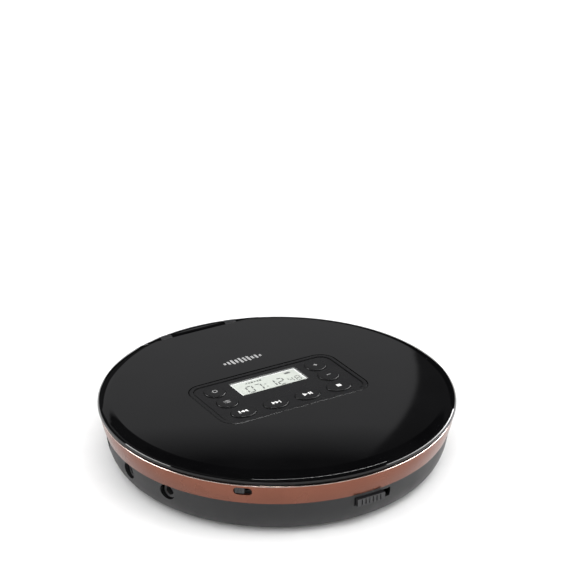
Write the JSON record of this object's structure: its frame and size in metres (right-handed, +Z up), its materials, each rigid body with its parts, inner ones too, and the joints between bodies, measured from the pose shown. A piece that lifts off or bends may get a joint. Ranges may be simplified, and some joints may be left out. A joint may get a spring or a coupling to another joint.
{
  "type": "portable cd player",
  "caption": "Round portable disc player: hinged lid with display and push buttons, metallic side band, disc well with turntable and laser sled, battery bay under a hinged door.",
  "frame": {"origin": "on the surface the feet stand on, under the disc's centre", "axes": "+Z up, -Y to the front where the latch slide is, +Y to the lid hinge, +X to the right-hand side"},
  "size_m": [0.14, 0.14, 0.0289],
  "materials": {
    "cells": "printed sleeve, plain",
    "door_black": "fine matt black",
    "plates": "nickel plated",
    "springs": "nickel plated",
    "capacitors": "plain",
    "chips": "moulded",
    "case_black": "fine matt black",
    "board_green": "solder mask",
    "button_mode": "satin black with a white mark",
    "button_next": "satin black with a white mark",
    "button_play": "satin black with a white mark",
    "button_previous": "satin black with a white mark",
    "button_program": "satin black with a white mark",
    "button_stop": "satin black with a white mark",
    "button_volume_down": "satin black with a white mark",
    "button_volume_up": "satin black with a white mark",
    "screw_steel": "zinc plated",
    "ball_1": "polished",
    "ball_2": "polished",
    "ball_3": "polished",
    "panel": "satin black",
    "deck_black": "fine matt black",
    "lens_clear": "clear acrylic",
    "display": "reflective display glass in a white frame",
    "ribbon": "flat ribbon",
    "domes": "stamped",
    "chassis": "zinc-plated sheet",
    "dampers": "soft",
    "magnets": "plated",
    "ring_rubber": "matt",
    "clip": "spring steel",
    "jack_phones": "moulded",
    "lug_gloss": "high gloss black",
    "pins": "ground",
    "hold_knob": "satin",
    "hold_body": "moulded",
    "gear_white": "acetal",
    "latch_spring": "spring steel",
    "lens_holder": "moulded",
    "lid_liner": "fine matt",
    "screw_black": "black oxide",
    "lid_gloss": "high gloss black",
    "lid_switch": "moulded",
    "plunger": "acetal",
    "jack_line": "moulded",
    "main_board": "solder mask",
    "pinion": "plain",
    "lens_glass": "coated",
    "open_slider": "satin",
    "pickup_board": "amber film",
    "sled": "moulded",
    "power_steel": "plated",
    "foot_rubber": "matt",
    "band_copper": "copper-coloured metallic, satin",
    "sled_can": "plated can",
    "rack": "acetal",
    "rails": "ground rod",
    "screw_small": "zinc plated",
    "spindle_can": "plated can",
    "turntable": "moulded"
  },
  "bodies": {
    "base": {"battery_cells": "cells", "battery_plates": "plates", "battery_springs": "springs", "board_capacitors": "capacitors", "board_chips": "chips", "bottom_case": "case_black", "case_screws": "screw_steel", "deck": "deck_black", "drive_chassis": "chassis", "drive_dampers": "dampers", "gear_clip": "clip", "headphone_jack": "jack_phones", "hinge_lugs": "lug_gloss", "hinge_pins": "pins", "hold_switch": "hold_body", "lid_switch": "lid_switch", "line_out_jack": "jack_line", "main_board": "main_board", "power_socket": "power_steel", "rubber_feet": "foot_rubber", "side_band": "band_copper", "sled_motor": "sled_can", "sled_rails": "rails", "small_screws": "screw_small", "spindle_motor": "spindle_can"},
    "lid": {"lid_shell": "lid_gloss", "lid_liner": "lid_liner", "control_panel": "panel", "display_lens": "lens_clear", "display_module": "display", "button_board": "board_green", "dome_switches": "domes", "lid_screws": "screw_black", "display_ribbon": "ribbon"},
    "turntable_spinner": {"turntable": "turntable", "friction_ring": "ring_rubber"},
    "sled": {"pickup_sled": "sled", "pickup_board": "pickup_board", "focus_magnets": "magnets", "sled_rack": "rack"},
    "focus_lens": {"lens_holder": "lens_holder", "objective_lens": "lens_glass"},
    "idler": {"idler_gear": "gear_white"},
    "pinion": {"motor_pinion": "pinion"},
    "hold": {"hold_knob": "hold_knob"},
    "lid_feeler": {"lid_switch_plunger": "plunger"},
    "release_slide": {"open_slider": "open_slider", "latch_spring": "latch_spring"},
    "battery_cover": {"battery_door": "door_black"},
    "button_mode_cap": {"button_mode": "button_mode"},
    "button_program_cap": {"button_program": "button_program"},
    "button_previous_cap": {"button_previous": "button_previous"},
    "button_next_cap": {"button_next": "button_next"},
    "button_play_cap": {"button_play": "button_play"},
    "button_stop_cap": {"button_stop": "button_stop"},
    "button_volume_down_cap": {"button_volume_down": "button_volume_down"},
    "button_volume_up_cap": {"button_volume_up": "button_volume_up"},
    "clamp_ball_1_free": {"clamp_ball_1": "ball_1"},
    "clamp_ball_2_free": {"clamp_ball_2": "ball_2"},
    "clamp_ball_3_free": {"clamp_ball_3": "ball_3"}
  },
  "joints": [
    {"name": "lid_hinge", "type": "hinge", "parent": "base", "child": "lid", "pos_m": [0, 0.0649, 0.0253], "axis": [-1, 0, 0], "range_deg": [0, 80], "deforming": ["display_ribbon"]},
    {"name": "turntable_spin", "type": "hinge", "parent": "base", "child": "turntable_spinner", "pos_m": [0, 0, 0.0199], "axis": [0, 0, 1], "continuous": true},
    {"name": "sled_slide", "type": "slide", "parent": "base", "child": "sled", "axis": [0, -1, 0], "range_m": [0, 0.0325]},
    {"name": "idler_spin", "type": "hinge", "parent": "base", "child": "idler", "pos_m": [0.0204, -0.026, 0.009], "axis": [0, 0, 1], "range_deg": [-5, 545]},
    {"name": "pinion_spin", "type": "hinge", "parent": "base", "child": "pinion", "pos_m": [0.02811, -0.01681, 0.0078], "axis": [0, 0, 1], "range_deg": [-2150, 5]},
    {"name": "focus_slide", "type": "slide", "parent": "sled", "child": "focus_lens", "axis": [0, 0, 1], "range_m": [-0.0003, 0.0003], "stiffness_N_per_m": 30},
    {"name": "hold_slide", "type": "slide", "parent": "base", "child": "hold", "axis": [0.7547, -0.6561, 0], "range_m": [0, 0.0025]},
    {"name": "lid_feeler_slide", "type": "slide", "parent": "base", "child": "lid_feeler", "axis": [0, 0, -1], "range_m": [0, 0.0009], "stiffness_N_per_m": 100},
    {"name": "release_slide", "type": "slide", "parent": "base", "child": "release_slide", "axis": [1, 0, 0], "range_m": [0, 0.003], "stiffness_N_per_m": 200, "deforming": ["latch_spring"]},
    {"name": "battery_hinge", "type": "hinge", "parent": "base", "child": "battery_cover", "pos_m": [0, 0.0494, 0.0017], "axis": [1, 0, 0], "range_deg": [0, 90]},
    {"name": "button_mode_press", "type": "slide", "parent": "lid", "child": "button_mode_cap", "axis": [0, 0, -1], "range_m": [0, 0.0005], "stiffness_N_per_m": 400},
    {"name": "button_program_press", "type": "slide", "parent": "lid", "child": "button_program_cap", "axis": [0, 0, -1], "range_m": [0, 0.0005], "stiffness_N_per_m": 400},
    {"name": "button_previous_press", "type": "slide", "parent": "lid", "child": "button_previous_cap", "axis": [0, 0, -1], "range_m": [0, 0.0005], "stiffness_N_per_m": 400},
    {"name": "button_next_press", "type": "slide", "parent": "lid", "child": "button_next_cap", "axis": [0, 0, -1], "range_m": [0, 0.0005], "stiffness_N_per_m": 400},
    {"name": "button_play_press", "type": "slide", "parent": "lid", "child": "button_play_cap", "axis": [0, 0, -1], "range_m": [0, 0.0005], "stiffness_N_per_m": 400},
    {"name": "button_stop_press", "type": "slide", "parent": "lid", "child": "button_stop_cap", "axis": [0, 0, -1], "range_m": [0, 0.0005], "stiffness_N_per_m": 400},
    {"name": "button_volume_down_press", "type": "slide", "parent": "lid", "child": "button_volume_down_cap", "axis": [0, 0, -1], "range_m": [0, 0.0005], "stiffness_N_per_m": 400},
    {"name": "button_volume_up_press", "type": "slide", "parent": "lid", "child": "button_volume_up_cap", "axis": [0, 0, -1], "range_m": [0, 0.0005], "stiffness_N_per_m": 400},
    {"name": "clamp_ball_1_slide", "type": "slide", "parent": "turntable_spinner", "child": "clamp_ball_1_free", "axis": [-1, 0, 0], "range_m": [0, 0.0005], "stiffness_N_per_m": 200},
    {"name": "clamp_ball_2_slide", "type": "slide", "parent": "turntable_spinner", "child": "clamp_ball_2_free", "axis": [0.5, -0.866, 0], "range_m": [0, 0.0005], "stiffness_N_per_m": 200},
    {"name": "clamp_ball_3_slide", "type": "slide", "parent": "turntable_spinner", "child": "clamp_ball_3_free", "axis": [0.5, 0.866, 0], "range_m": [0, 0.0005], "stiffness_N_per_m": 200}
  ],
  "couplings": [
    {"joint": "idler_spin", "follows": "sled_slide", "rad_per_m": 285.71},
    {"joint": "pinion_spin", "follows": "sled_slide", "rad_per_m": -1142.9}
  ]
}
